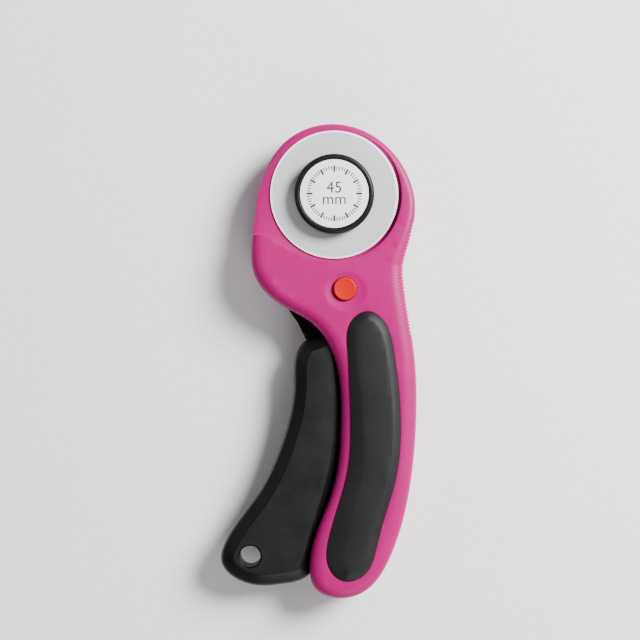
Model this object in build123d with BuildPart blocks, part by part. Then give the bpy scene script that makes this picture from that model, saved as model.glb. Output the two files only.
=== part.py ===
from build123d import *

import os
from math import atan2, cos, degrees, radians, sin

os.makedirs("parts", exist_ok=True)

# A rotary cutter with a squeeze trigger. Two shells form a guard behind the blade and a handle.
# Between them a lever turns on a pin; it carries the blade at one end and the trigger at the other.
# +Y points towards the head, +Z towards the blade's side, and the trigger is on the -X side.
# The origin is on the blade's axis, at the flat rear face of the nut. The blade is drawn retracted.

# ---- Driving dimensions, mm and degrees ----
blade_d = 45.0  # nominal blade size
blade_t = 0.3
blade_bore_d = 8.0
grind_w = 1.0  # ground edge of the blade
grip_length = 117.0  # handle, from the neck to the bottom
grip_thick = 18.0  # both shells together, at the handle
squeeze = 12.0  # swing of the lever
nut_d = 25.0
nut_h = 5.5
washer_h = 1.2  # spring washer, pressed down
hub_d = 27.9
hub_h = 5.0
label_rim = 1.95  # of the hub cap, round the label
label_d = hub_d - 2 * label_rim
stud_d = 6.0  # threaded end
button_d = 8.1
button_travel = 3.5
hang_hole_d = 7.4
pin_d = 5.0
wire_d = 0.9
arm_t = 4.0  # the lever's plate
wall = 2.0
grip_wall = 2.4
head_wall = 2.0  # guard plates
pad_proud = 2.3
pad_let_in = 1.2

rim_r = 3.0  # rounding of the shells' edges
rim_steps = [(rim_r, 0.0), (1.0, 0.8), (0.0, 2.2)]  # distance from the face, and inwards
bush_t = 1.0
bush_r = pin_d / 2 + bush_t
washer_rim = 2.5  # how far the pivot's washer stands out from the bush
spring_turns = 2.75
spring_pitch = wire_d + 0.1
spring_r = pin_d / 2 + wire_d / 2 + 1.45  # coil, to the centre of the wire
spring_leg = 6.0
leg_depth = 2.4  # of the spring's leg in the lever
pin_seat = 3.8  # of the pin in the rear shell
pin_over = 1.0  # the pin stands out of the spring
screw_d = 2.2
screw_head_d = 3.8
screw_head_h = 1.5
post_r = 2.8
screw_cover = 0.8  # shell in front of the screw's tip
seat_drop = 0.2  # from the cavity to the screw's seat

pad_round = 2.0
trigger_steps = [(4.0, 0.0), (1.3, 1.1), (0.0, 3.6)]
button_thick_r = button_d / 2 - 0.65  # locks the lever
button_neck_r = button_thick_r - 0.9  # lets the lever pass
button_proud = 1.0
button_dip = 0.35  # the front face lies this much lower beside the button
button_tail = 4.0  # of the button in the rear shell
detent_r = button_thick_r + 1.4
detent_t = 1.2
edge_t = 0.02  # half thickness left at the blade's edge
flange_r = blade_bore_d / 2 + 2.5  # bolt head inside the hub cap
flange_t = 2.0
hub_floor = 1.0  # under the bolt head
shoulder_drop = 0.7  # the bolt's shoulder starts inside the boss
label_let_in = 0.5
label_t = 0.4
washer_r = blade_bore_d / 2 + 4.0
washer_t = 0.5
nut_floor = 1.5
insert_r = stud_d / 2 + 2.2
flutes = 16
flute_r = 2.2
flute_depth = 0.9
socket_r = 0.9
boss_r = blade_bore_d / 2 + 3.0
bolt_pad_r = 10.5  # lever round the bolt
pivot_pad_r = 7.5  # lever round the pin
lock_pad_r = 7.0  # lever round the lock pockets
pin_break = 0.4  # chamfer
edge_break = 0.5  # chamfer
cap_round = 0.8
button_round = 0.7
split_gap = 0.2  # keeps the channel out of the rounded edge

outline_steps = 64  # points of the inner outline
edge_steps = 400  # points tried for the farthest of the trigger

# ---- Clearances ----
running = 0.05  # on the radius, between a shaft and its hole
side_gap = 0.3  # between the lever and the shells
trigger_gap = 0.4  # between the trigger and the handle's walls
button_gap = 0.1
pocket_gap = 1.2  # between the blade and the pocket's wall
top_gap = 0.6  # above the thick trigger
tail_gap = 0.5  # below the trigger's tail
leg_gap = 0.1

# ---- Plan: points are drawn for a 45 mm blade and a 117 mm handle, and move with both sizes ----
drawn_blade_d = 45.0
drawn_grip_length = 117.0
neck_y = -24.8
plan_scale = blade_d / drawn_blade_d
stretch = grip_length / drawn_grip_length
beyond = 200.0 * plan_scale * stretch  # reaches past everything that is cut


def at(x, y):
    """A point of the plan: all of it grows with the blade, and what is below the neck with the handle."""
    if y < neck_y:
        y = neck_y + (y - neck_y) * stretch
    return Vector(x, y) * plan_scale


# ---- Levels, from the nut's rear face to the front ----
z_boss_rear = nut_h + washer_h
z_head_rear = z_boss_rear + side_gap
z_cavity_rear = z_head_rear + head_wall
z_arm_rear = z_cavity_rear + side_gap
z_part = z_arm_rear + arm_t / 2  # the shells meet here
z_arm_front = z_arm_rear + arm_t
z_cavity_front = z_arm_front + side_gap
z_guard = z_cavity_front + head_wall
z_boss_front = z_guard + side_gap
z_blade = z_boss_front + running
z_hub = z_blade + blade_t + running
z_hub_front = z_hub + hub_h
z_grip_rear = z_part - grip_thick / 2
z_grip_front = z_part + grip_thick / 2
channel_half = grip_thick / 2 - rim_r - split_gap  # half height of the slot that the trigger moves in
trigger_half = channel_half - trigger_gap
pad_t = pad_proud + pad_let_in
z_pad_rear = z_grip_rear - pad_proud
z_pad_front = z_grip_front + pad_proud

z_spring = z_cavity_front + wire_d / 2
z_spring_top = z_spring + spring_turns * spring_pitch + wire_d
z_pin_rear = z_cavity_rear - pin_seat
z_pin_front = z_spring_top + pin_over
z_screw_seat = z_cavity_rear - seat_drop
z_screw_tip = z_guard - screw_cover
z_button_rear = z_cavity_rear - button_tail
z_button_front = z_grip_front - button_dip + button_proud
z_detent = z_cavity_rear - detent_t
z_stud_end = nut_floor + side_gap
z_shoulder = z_boss_rear + shoulder_drop
z_flange = z_hub + hub_floor
z_button_step = z_cavity_front + button_travel + button_gap  # under the button's head

# ---- Places in the plan ----
blade_r = blade_d / 2
pivot = Vector(-15.9, -28.9) * plan_scale
hub_reach = pivot.length
hub_deg = degrees(atan2(-pivot.Y, -pivot.X))  # direction from the pivot to the blade's axis
lock_r = 20.07 * plan_scale  # lock button to pivot
lock_deg = -12.4  # direction from the pivot to the lock button
trigger_top_r = 23.0 * plan_scale  # the thick trigger starts this far from the pivot
pocket_r = blade_r + pocket_gap
screw_spots = [at(18.0, -10.0), at(17.5, -33.5), at(24.5, -66.0), at(24.2, -90.0)]
hang_hole = at(-29.6, -127.2)


def round_pivot(radius, angle):
    """The point at a radius and direction from the pivot."""
    return pivot + Vector(radius * cos(radians(angle)), radius * sin(radians(angle)))


lock_spot = round_pivot(lock_r, lock_deg)
lock_pocket = round_pivot(lock_r, lock_deg - squeeze)  # meets the button when the blade is out
hub_swing = ThreePointArc(
    round_pivot(hub_reach, hub_deg),
    round_pivot(hub_reach, hub_deg + squeeze / 2),
    round_pivot(hub_reach, hub_deg + squeeze),
)
lock_swing = ThreePointArc(lock_pocket, round_pivot(lock_r, lock_deg - squeeze / 2), lock_spot)

# ---- Outlines ----
with BuildLine():  # outline of both shells, from the notch for the thumb, round the head, and back
    outline = Spline(
        at(24.0, -24.9), at(27.0, -14.5), at(28.5, -4.5), at(25.4, 8.0), at(16.3, 19.2), at(-0.5, 25.1),
        at(-16.9, 19.2), at(-25.2, 6.0), at(-28.6, -13.0), at(-28.1, -28.2), at(-19.5, -38.3),
        at(-7.5, -45.5), at(0.2, -58.0), at(2.4, -77.8), at(-0.9, -104.5), at(-8.7, -131.0),
        at(-7.0, -138.0), at(3.2, -141.8), at(11.9, -138.6), at(19.6, -127.6), at(25.8, -107.3),
        at(28.8, -79.2), at(28.3, -58.0), at(24.6, -32.0), at(24.0, -24.9),
    )


def inset_points(curve, depth):
    """Points of a closed outline, moved inwards."""
    points = []
    for step in range(outline_steps):
        along = (step + 0.5) / outline_steps
        heading = curve % along
        points.append(curve @ along + Vector(-heading.Y, heading.X) * depth)
    return points


with BuildSketch() as open_head:  # where the body is no higher than the guard
    Circle(pocket_r)
    with BuildLine():
        Polyline(
            at(-45, -14.3), at(-24.3, -14.6), at(-19.1, -17.3), at(-12.6, -21.0), at(0, 0),
            at(28, 28), at(-45, 45), close=True,
        )
    make_face()

with BuildSketch() as head_cavity:  # room for the lever's plate
    with BuildLine():
        Spline(*inset_points(outline, wall), periodic=True)
    make_face()
    with BuildLine():
        Polyline(at(-22.0, -34.5), at(-24.0, -44.0), at(-8.0, -60.0), at(6.0, -54.0), at(4.0, -36.0), close=True)
    make_face()
    with Locations(*screw_spots):
        Circle(post_r, mode=Mode.SUBTRACT)

with BuildLine():  # outline of the trigger, from its top along the free edge, round the tail, and back inside
    trigger_outline = Spline(
        round_pivot(trigger_top_r, -53), round_pivot(trigger_top_r, -63), round_pivot(trigger_top_r, -74),
        at(-13.2, -55.5), at(-14.3, -67.0), at(-18.2, -86.5), at(-26.5, -104.7), at(-37.4, -120.2),
        at(-39.9, -129.6), at(-31.0, -137.2), at(-18.0, -137.4), at(-9.0, -134.2), at(-6.3, -128.0),
        at(-1.8, -113.0), at(3.4, -93.0), at(4.3, -74.0), at(3.8, -56.5), at(1.6, -49.0), periodic=True,
    )
tail_r = max((trigger_outline @ (step / edge_steps) - pivot).length for step in range(edge_steps))

with BuildSketch() as channel:  # room for the thick trigger, open on the trigger's side
    with BuildLine():
        Spline(*inset_points(outline, grip_wall), periodic=True)
    make_face()
    with BuildLine():
        Polyline(at(-45, -42.5), at(8, -42.5), at(10, -90), at(4, -136), at(-2, -141), at(-45, -145), close=True)
    make_face()
    with Locations(pivot):
        Circle(tail_r + tail_gap, mode=Mode.INTERSECT)
        Circle(trigger_top_r - top_gap, mode=Mode.SUBTRACT)
    with Locations(at(0, -42.5) + Vector(0, beyond / 2)):
        Rectangle(2 * beyond, beyond, mode=Mode.SUBTRACT)
    with Locations(*screw_spots):
        Circle(post_r, mode=Mode.SUBTRACT)

with BuildSketch() as pad_plan:
    with BuildLine():
        Spline(
            at(11.7, -41.0), at(16.6, -43.6), at(20.5, -53.2), at(22.7, -69.6), at(21.7, -98.8),
            at(15.4, -121.2), at(9.6, -133.9), at(3.0, -135.3), at(-1.7, -131.2), at(-1.8, -119.5),
            at(4.4, -98.0), at(5.7, -78.0), at(4.5, -55.0), at(5.8, -44.6), periodic=True,
        )
    make_face()

with BuildSketch() as lever_plan:
    Circle(bolt_pad_r)
    with Locations(pivot):
        Circle(pivot_pad_r)
    make_hull()
    with Locations(pivot):
        Circle(pivot_pad_r)
    with Locations(lock_spot, lock_pocket):
        Circle(lock_pad_r)
    make_hull()
    with BuildLine():  # stem that the trigger is moulded on
        Polyline(
            at(-18.3, -37.4), at(-13.0, -44.8), at(-10.0, -51.0), at(-7.2, -60.0), at(-8.5, -74.0),
            at(-16.5, -97.0), at(-20.5, -106.0), at(-12.5, -110.0), at(-5.0, -93.0), at(-1.0, -76.0),
            at(1.0, -62.0), at(1.5, -52.0), at(8.5, -39.0), close=True,
        )
    make_face()


# ---- Body block: both shells together, thick at the handle and thin at the head ----
def layer(curve, level, depth):
    """The face inside an outline at one level, with its edge moved inwards."""
    with BuildSketch(Plane.XY.offset(level)) as profile:
        with BuildLine():
            Spline(*inset_points(curve, depth), periodic=True)
        make_face()
    return profile.sketch


def rounded_block(curve, low, high, steps):
    """A block between two levels, its edges rounded by steps of (distance from the face, inwards)."""
    straight = steps[0][0]
    extrude(layer(curve, low + straight, 0), amount=high - low - 2 * straight)
    loft([layer(curve, high - down, depth) for down, depth in steps])
    loft([layer(curve, low + up, depth) for up, depth in steps])


head_half = (z_guard - z_head_rear) / 2
with BuildPart() as body:
    rounded_block(outline, z_grip_rear, z_grip_front, rim_steps)
    with BuildSketch(Plane.YZ.offset(-beyond / 2)):
        with BuildLine():
            front_line = Spline(
                (at(0, -42).Y, z_grip_front), (at(0, 24).Y, z_part + head_half), tangents=((1, 0), (1, 0))
            )
            Line(front_line @ 1, (beyond, z_part + head_half))
            Line((beyond, z_part + head_half), (beyond, z_part - head_half))
            rear_line = Spline(
                (at(0, 24).Y, z_part - head_half), (at(0, -42).Y, z_grip_rear), tangents=((-1, 0), (-1, 0))
            )
            Line((beyond, z_part - head_half), rear_line @ 0)
            Polyline(rear_line @ 1, (-beyond, z_grip_rear), (-beyond, z_grip_front), front_line @ 0)
        make_face()
    extrude(amount=beyond, mode=Mode.INTERSECT)


def round_hole(spots, radius, low, high):
    """Cut round holes between two levels, at each spot."""
    with BuildSketch(Plane.XY.offset(low)) as profile:
        with Locations(*spots):
            Circle(radius)
    extrude(profile.sketch, amount=high - low, mode=Mode.SUBTRACT)


def cut_plan(outline, low, high):
    """Cut an outline out between two levels."""
    with BuildSketch(Plane.XY.offset(low)) as profile:
        add(outline.sketch)
    extrude(profile.sketch, amount=high - low, mode=Mode.SUBTRACT)


with BuildSketch() as boss_slot:  # the lever's boss swings in it
    SlotArc(hub_swing, 2 * (boss_r + side_gap))

with BuildPart() as front_shell:
    add(body.part)
    split(bisect_by=Plane.XY.offset(z_part), keep=Keep.TOP)
    cut_plan(open_head, z_guard, z_grip_front)
    cut_plan(head_cavity, z_part, z_cavity_front)
    cut_plan(channel, z_part, z_part + channel_half)
    cut_plan(boss_slot, z_part, z_grip_front)
    cut_plan(pad_plan, z_grip_front - pad_let_in, z_grip_front)
    round_hole([lock_spot], button_d / 2 + button_gap, z_part, z_grip_front)
    round_hole(screw_spots, screw_d / 2, z_part, z_screw_tip)
    round_hole([pivot], pin_d / 2, z_part, z_pin_front)
    round_hole([pivot], spring_r + wire_d, z_part, z_spring_top)
    with BuildSketch(Plane.XY.offset(z_part)):  # the spring's fixed leg lies in it
        with Locations(pivot + Vector(spring_leg / 2, -spring_r)):
            Rectangle(spring_leg + 2 * side_gap, wire_d + side_gap)
    extrude(amount=z_spring_top - z_part, mode=Mode.SUBTRACT)

with BuildPart() as rear_shell:
    add(body.part)
    split(bisect_by=Plane.XY.offset(z_part), keep=Keep.BOTTOM)
    cut_plan(open_head, z_grip_rear, z_head_rear)
    cut_plan(head_cavity, z_cavity_rear, z_part)
    cut_plan(channel, z_part - channel_half, z_part)
    cut_plan(boss_slot, z_grip_rear, z_part)
    cut_plan(pad_plan, z_grip_rear, z_grip_rear + pad_let_in)
    round_hole([lock_spot], button_thick_r + button_gap, z_grip_rear, z_part)
    round_hole([lock_spot], detent_r, z_detent, z_part)
    round_hole(screw_spots, screw_d / 2, z_grip_rear, z_part)
    round_hole(screw_spots, screw_head_d / 2 + button_gap, z_grip_rear, z_screw_seat)
    round_hole([pivot], pin_d / 2, z_pin_rear, z_part)

# ---- Soft pads let into both sides of the handle ----
with BuildPart() as front_grip_pad:
    with BuildSketch(Plane.XY.offset(z_grip_front - pad_let_in)):
        add(pad_plan.sketch)
    extrude(amount=pad_t)
    fillet(front_grip_pad.faces().sort_by(Axis.Z)[-1].edges(), radius=pad_round)

with BuildPart() as rear_grip_pad:
    with BuildSketch(Plane.XY.offset(z_pad_rear)):
        add(pad_plan.sketch)
    extrude(amount=pad_t)
    fillet(rear_grip_pad.faces().sort_by(Axis.Z)[0].edges(), radius=pad_round)

# ---- Lever: plate, bosses on both sides for the bolt, and the stem inside the trigger ----
with BuildPart() as blade_lever:
    with BuildSketch(Plane.XY.offset(z_arm_rear)):
        add(lever_plan.sketch)
    extrude(amount=arm_t)
    with BuildSketch(Plane.XY.offset(z_boss_rear)):
        Circle(boss_r)
    extrude(amount=z_boss_front - z_boss_rear)
    round_hole([Vector(0, 0)], blade_bore_d / 2, z_boss_rear, z_boss_front)
    round_hole([pivot], bush_r, z_arm_rear, z_arm_front)
    round_hole([lock_spot, lock_pocket], button_thick_r + button_gap, z_arm_rear, z_arm_front)
    with BuildSketch(Plane.XY.offset(z_arm_rear)):
        SlotArc(lock_swing, 2 * (button_neck_r + button_gap))
    extrude(amount=arm_t, mode=Mode.SUBTRACT)
    round_hole([pivot + Vector(spring_r, 0)], wire_d / 2 + leg_gap, z_arm_front - leg_depth - leg_gap, z_arm_front)

with BuildPart() as trigger_grip:
    rounded_block(trigger_outline, z_part - trigger_half, z_part + trigger_half, trigger_steps)
    round_hole([hang_hole], hang_hole_d / 2, z_part - trigger_half, z_part + trigger_half)
    chamfer(trigger_grip.edges().filter_by(GeomType.CIRCLE).filter_by(
        lambda edge: abs(edge.radius - hang_hole_d / 2) < running), length=edge_break)
    add(blade_lever.part, mode=Mode.SUBTRACT)

# ---- Pivot ----
with BuildPart() as pivot_pin:
    with BuildSketch(Plane.XY.offset(z_pin_rear)):
        with Locations(pivot):
            Circle(pin_d / 2)
    extrude(amount=z_pin_front - z_pin_rear)
    chamfer(pivot_pin.edges().filter_by(GeomType.CIRCLE), length=pin_break)

with BuildPart() as pivot_bush:
    with BuildSketch(Plane.XY.offset(z_arm_rear)):
        with Locations(pivot):
            Circle(bush_r)
            Circle(pin_d / 2 + running, mode=Mode.SUBTRACT)
    extrude(amount=arm_t)

with BuildPart() as pivot_washer:
    with BuildSketch(Plane.XY.offset(z_cavity_rear + running / 2)):
        with Locations(pivot):
            Circle(bush_r + washer_rim)
            Circle(pin_d / 2 + running, mode=Mode.SUBTRACT)
    extrude(amount=side_gap - running)

with BuildPart() as return_spring:
    with BuildLine():
        coil = Helix(spring_pitch, spring_turns * spring_pitch, spring_r, center=(pivot.X, pivot.Y, z_spring))
    with BuildSketch(Plane(origin=coil @ 0, z_dir=coil % 0)):
        Circle(wire_d / 2)
    sweep(is_frenet=True)
    with BuildSketch(Plane.XY.offset(z_arm_front - leg_depth)):  # leg in the lever
        with Locations(pivot + Vector(spring_r, 0)):
            Circle(wire_d / 2)
    extrude(amount=z_spring - z_arm_front + leg_depth)
    with BuildSketch(Plane(origin=coil @ 1, z_dir=(1, 0, 0))):  # leg in the front shell
        Circle(wire_d / 2)
    extrude(amount=spring_leg)

# ---- Lock button: its thick part fills a pocket of the lever when it is pushed in ----
with BuildPart() as lock_button:
    with BuildSketch(Plane.XZ.offset(-lock_spot.Y)):
        with BuildLine():
            Polyline(
                (lock_spot.X, z_button_rear),
                (lock_spot.X + button_thick_r, z_button_rear),
                (lock_spot.X + button_thick_r, z_cavity_rear),
                (lock_spot.X + button_neck_r, z_cavity_rear),
                (lock_spot.X + button_neck_r, z_cavity_front),
                (lock_spot.X + button_thick_r, z_cavity_front),
                (lock_spot.X + button_thick_r, z_button_step),
                (lock_spot.X + button_d / 2, z_button_step),
                (lock_spot.X + button_d / 2, z_button_front),
                (lock_spot.X, z_button_front),
                close=True,
            )
        make_face()
    revolve(axis=Axis((lock_spot.X, lock_spot.Y, 0), (0, 0, 1)))
    fillet(lock_button.faces().sort_by(Axis.Z)[-1].edges(), radius=button_round)

with BuildPart() as button_detent_ring:
    with BuildSketch(Plane.XY.offset(z_detent)):
        with Locations(lock_spot):
            Circle(detent_r - running)
            Circle(button_thick_r + running, mode=Mode.SUBTRACT)
    extrude(amount=z_cavity_rear - z_detent - running)

# ---- Blade, and the bolt that holds it ----
with BuildPart() as blade:
    with BuildSketch(Plane.XZ):
        with BuildLine():
            Polyline(
                (blade_bore_d / 2, z_blade), (blade_r - grind_w, z_blade), (blade_r, z_blade + blade_t / 2 - edge_t),
                (blade_r, z_blade + blade_t / 2 + edge_t), (blade_r - grind_w, z_blade + blade_t),
                (blade_bore_d / 2, z_blade + blade_t), close=True,
            )
        make_face()
    revolve(axis=Axis.Z)

with BuildPart() as bolt_stud:
    with BuildSketch(Plane.XY.offset(z_stud_end)):
        Circle(stud_d / 2)
    extrude(amount=z_shoulder - z_stud_end)
    chamfer(bolt_stud.faces().sort_by(Axis.Z)[0].edges(), length=edge_break)
    with BuildSketch(Plane.XY.offset(z_shoulder)):
        Circle(blade_bore_d / 2 - running)
    extrude(amount=z_flange - z_shoulder)
    with BuildSketch(Plane.XY.offset(z_flange)):
        RegularPolygon(flange_r, 6)
    extrude(amount=flange_t)

with BuildPart() as hub_cap:
    with BuildSketch(Plane.XY.offset(z_hub)):
        Circle(hub_d / 2)
    extrude(amount=hub_h)
    fillet(hub_cap.faces().sort_by(Axis.Z)[-1].edges(), radius=cap_round)
    round_hole([Vector(0, 0)], label_d / 2 + running, z_hub_front - label_let_in, z_hub_front)
    add(bolt_stud.part, mode=Mode.SUBTRACT)

with BuildPart() as hub_label_disc:
    with BuildSketch(Plane.XY.offset(z_hub_front - label_let_in)):
        Circle(label_d / 2)
    extrude(amount=label_t)

with BuildPart() as spring_washer:  # a shallow cone between the lever's boss and the nut
    with BuildSketch(Plane.XZ):
        with BuildLine():
            Polyline(
                (blade_bore_d / 2 + side_gap, z_boss_rear), (blade_bore_d / 2 + side_gap, z_boss_rear - washer_t),
                (washer_r, nut_h), (washer_r, nut_h + washer_t), close=True,
            )
        make_face()
    revolve(axis=Axis.Z)

with BuildPart() as nut_insert:
    with BuildSketch(Plane.XY.offset(nut_floor)):
        RegularPolygon(insert_r, 6)
        Circle(stud_d / 2 + running, mode=Mode.SUBTRACT)
    extrude(amount=nut_h - nut_floor)

with BuildPart() as nut:
    with BuildSketch():
        Circle(nut_d / 2)
        with PolarLocations(nut_d / 2 + flute_r - flute_depth, flutes):
            Circle(flute_r, mode=Mode.SUBTRACT)
    extrude(amount=nut_h)
    chamfer(nut.faces().sort_by(Axis.Z)[0].edges(), length=edge_break)
    with BuildSketch(Plane.XY.offset(nut_floor)):
        RegularPolygon(insert_r, 6)
    extrude(amount=nut_h - nut_floor, mode=Mode.SUBTRACT)

with BuildPart() as shell_screws:
    with BuildSketch(Plane.XY.offset(z_screw_seat)):
        with Locations(*screw_spots):
            Circle(screw_d / 2)
    extrude(amount=z_screw_tip - z_screw_seat)
    with BuildSketch(Plane.XY.offset(z_screw_seat - screw_head_h)):
        with Locations(*screw_spots):
            Circle(screw_head_d / 2)
            RegularPolygon(socket_r, 6, mode=Mode.SUBTRACT)
    extrude(amount=screw_head_h)
    with BuildSketch(Plane.XY.offset(z_screw_seat - screw_head_h / 2)):
        with Locations(*screw_spots):
            Circle(screw_head_d / 2)
    extrude(amount=screw_head_h / 2)

pieces = {
    "front_shell": front_shell,
    "rear_shell": rear_shell,
    "front_grip_pad": front_grip_pad,
    "rear_grip_pad": rear_grip_pad,
    "blade_lever": blade_lever,
    "trigger_grip": trigger_grip,
    "pivot_pin": pivot_pin,
    "pivot_bush": pivot_bush,
    "pivot_washer": pivot_washer,
    "return_spring": return_spring,
    "lock_button": lock_button,
    "button_detent_ring": button_detent_ring,
    "blade": blade,
    "bolt_stud": bolt_stud,
    "hub_cap": hub_cap,
    "hub_label_disc": hub_label_disc,
    "spring_washer": spring_washer,
    "nut": nut,
    "nut_insert": nut_insert,
    "shell_screws": shell_screws,
}
for label, piece in pieces.items():
    piece.part.label = label
    export_step(piece.part, f"parts/{label}.step")
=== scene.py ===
"""Rotary cutter with a squeeze trigger: meshes, materials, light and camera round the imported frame."""

import math

import bmesh
import bpy
import numpy as np
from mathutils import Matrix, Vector
from mathutils.geometry import delaunay_2d_cdt


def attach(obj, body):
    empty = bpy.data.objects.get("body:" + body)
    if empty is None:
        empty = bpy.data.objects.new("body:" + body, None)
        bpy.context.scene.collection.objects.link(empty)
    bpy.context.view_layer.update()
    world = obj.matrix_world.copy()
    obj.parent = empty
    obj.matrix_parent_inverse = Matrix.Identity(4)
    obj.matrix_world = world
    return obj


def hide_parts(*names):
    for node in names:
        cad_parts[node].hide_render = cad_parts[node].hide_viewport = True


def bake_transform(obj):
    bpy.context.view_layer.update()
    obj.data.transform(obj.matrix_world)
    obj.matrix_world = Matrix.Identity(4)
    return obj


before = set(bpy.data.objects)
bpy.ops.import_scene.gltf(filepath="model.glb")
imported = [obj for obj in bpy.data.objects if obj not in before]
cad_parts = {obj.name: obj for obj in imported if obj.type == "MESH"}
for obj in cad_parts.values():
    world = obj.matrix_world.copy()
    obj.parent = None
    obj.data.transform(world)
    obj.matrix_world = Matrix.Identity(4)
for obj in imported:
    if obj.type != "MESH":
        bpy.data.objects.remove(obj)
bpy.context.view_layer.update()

# ---- Sizes in millimetres, in the frame's own axes ----
MM = 0.001
PART_Z = 11.3  # the shells meet here; every "half" is measured from it
GUARD_HALF = 4.3  # head
GRIP_HALF = 9.0  # handle
PAD_HALF = 11.3
TRIGGER_HALF = 5.4
CHANNEL_HALF = 5.8  # room for the trigger
CAVITY_HALF = 2.3  # room for the lever
SQUEEZE = 12.0  # swing of the lever, degrees
PIVOT = np.array([-15.9, -28.9])
BUTTON = np.array([3.70, -33.21])
HANG_HOLE = np.array([-29.6, -127.2])
HANG_R = 3.7
SCREWS = [(18.0, -10.0), (17.5, -33.5), (24.5, -66.0), (24.2, -90.0)]
SCREW_WELL_R = 2.05
SCREW_WELL_FLOOR = 2.5
BUTTON_HOLE_FRONT_R = 4.2
BUTTON_HOLE_REAR_R = 3.5
RELIEF_SHIFT = np.array([0.25, 0.6])  # the relief round the button isn't quite central
RELIEF_R = 7.1
RELIEF_DEPTH = 0.75
PAD_LET_IN = 1.2
BEHIND_SEAM = -1.0  # cutters start here
PAST_FACE = 20.0  # and end here
SHELL_WALL = 2.4
HEAD_WALL = 2.0
RECESS_R = 23.7  # round the blade
BOSS_SLOT_R = 7.3
CHANNEL_NEAR = 22.4  # from the pivot to the channel's ends
CHANNEL_FAR = 109.9

TAPER_START, TAPER_RUN = -42.0, 66.0  # along y, from the handle's thickness to the head's
RIM_START, RIM_RUN = -34.0, 34.0
RIM_GRIP_R, RIM_HEAD_R = 3.6, 1.7
RIB_SIDE_X = 20.0
RIB_SPANS = ((-23.6, -9.2), (-49.5, -25.8))  # along y, either side of the notch
RIB_PITCH = 1.2
RIB_DEPTH = 0.42
RIB_RUN_OUT = 1.0
RIB_LAST_ANGLE = 60.0  # the ribs fade out by here on the rounding, degrees

BLADE_R, BLADE_BORE_R, BLADE_REAR, BLADE_T = 22.5, 4.0, 15.95, 0.3
GROUND_R = 21.85  # the ground edge starts here
GROUND_FADE = (21.80, 21.88)
HUB_REAR, HUB_FACE, HUB_R = 16.3, 21.3, 13.95
LABEL_REAR, LABEL_FACE, LABEL_R = 20.8, 21.2, 11.95
INK_REAR, INK_T = 21.21, 0.03
NUT_R, NUT_H, NUT_FLUTES, FLUTE_DEPTH = 12.4, 5.5, 16, 0.85
BUTTON_FACE, BUTTON_R = 20.95, 4.05
SPRING_R, WIRE_R = 4.4, 0.45  # coil to the middle of the wire
SPRING_LOW = 14.05  # middle of the wire where the coil starts
SPRING_PITCH = 1.0
SPRING_TURNS = 2.75
SPRING_LEG = 6.0
LEVER_LEG_END = 10.95

SHELL_POINTS = [
    (24.0, -24.9), (27.0, -14.5), (28.5, -4.5), (25.4, 8.0), (16.3, 19.2), (-0.5, 25.1), (-16.9, 19.2),
    (-25.2, 6.0), (-28.6, -13.0), (-28.1, -28.2), (-19.5, -38.3), (-7.5, -45.5), (0.2, -58.0),
    (2.4, -77.8), (-0.9, -104.5), (-8.7, -131.0), (-7.0, -138.0), (3.2, -141.8), (11.9, -138.6),
    (19.6, -127.6), (25.8, -107.3), (28.8, -79.2), (28.3, -58.0), (24.6, -32.0), (24.0, -24.9),
]
PAD_POINTS = [
    (11.7, -41.0), (16.6, -43.6), (20.5, -53.2), (22.7, -69.6), (21.7, -98.8), (15.4, -121.2), (9.6, -133.9),
    (3.0, -135.3), (-1.7, -131.2), (-1.8, -119.5), (4.4, -98.0), (5.7, -78.0), (4.5, -55.0), (5.8, -44.6),
]
TRIGGER_TOP_R = 23.0  # the trigger's top end is round about the pivot
TRIGGER_TOP_ANGLES = np.radians((-53, -63, -74))
TRIGGER_TOP = [PIVOT + TRIGGER_TOP_R * np.array([math.cos(a), math.sin(a)]) for a in TRIGGER_TOP_ANGLES]
TRIGGER_POINTS = [tuple(point) for point in TRIGGER_TOP] + [
    (-13.2, -55.5), (-14.3, -67.0), (-18.2, -86.5), (-26.5, -104.7), (-37.4, -120.2), (-39.9, -129.6),
    (-31.0, -137.2), (-18.0, -137.4), (-9.0, -134.2), (-6.3, -128.0), (-1.8, -113.0), (3.4, -93.0),
    (4.3, -74.0), (3.8, -56.5), (1.6, -49.0),
]
RIDGE_POINTS = [
    (-45.0, -13.9), (-32.0, -14.3), (-24.6, -14.6), (-19.4, -17.2), (-14.6, -20.2), (-11.7, -20.7),
]


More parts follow.
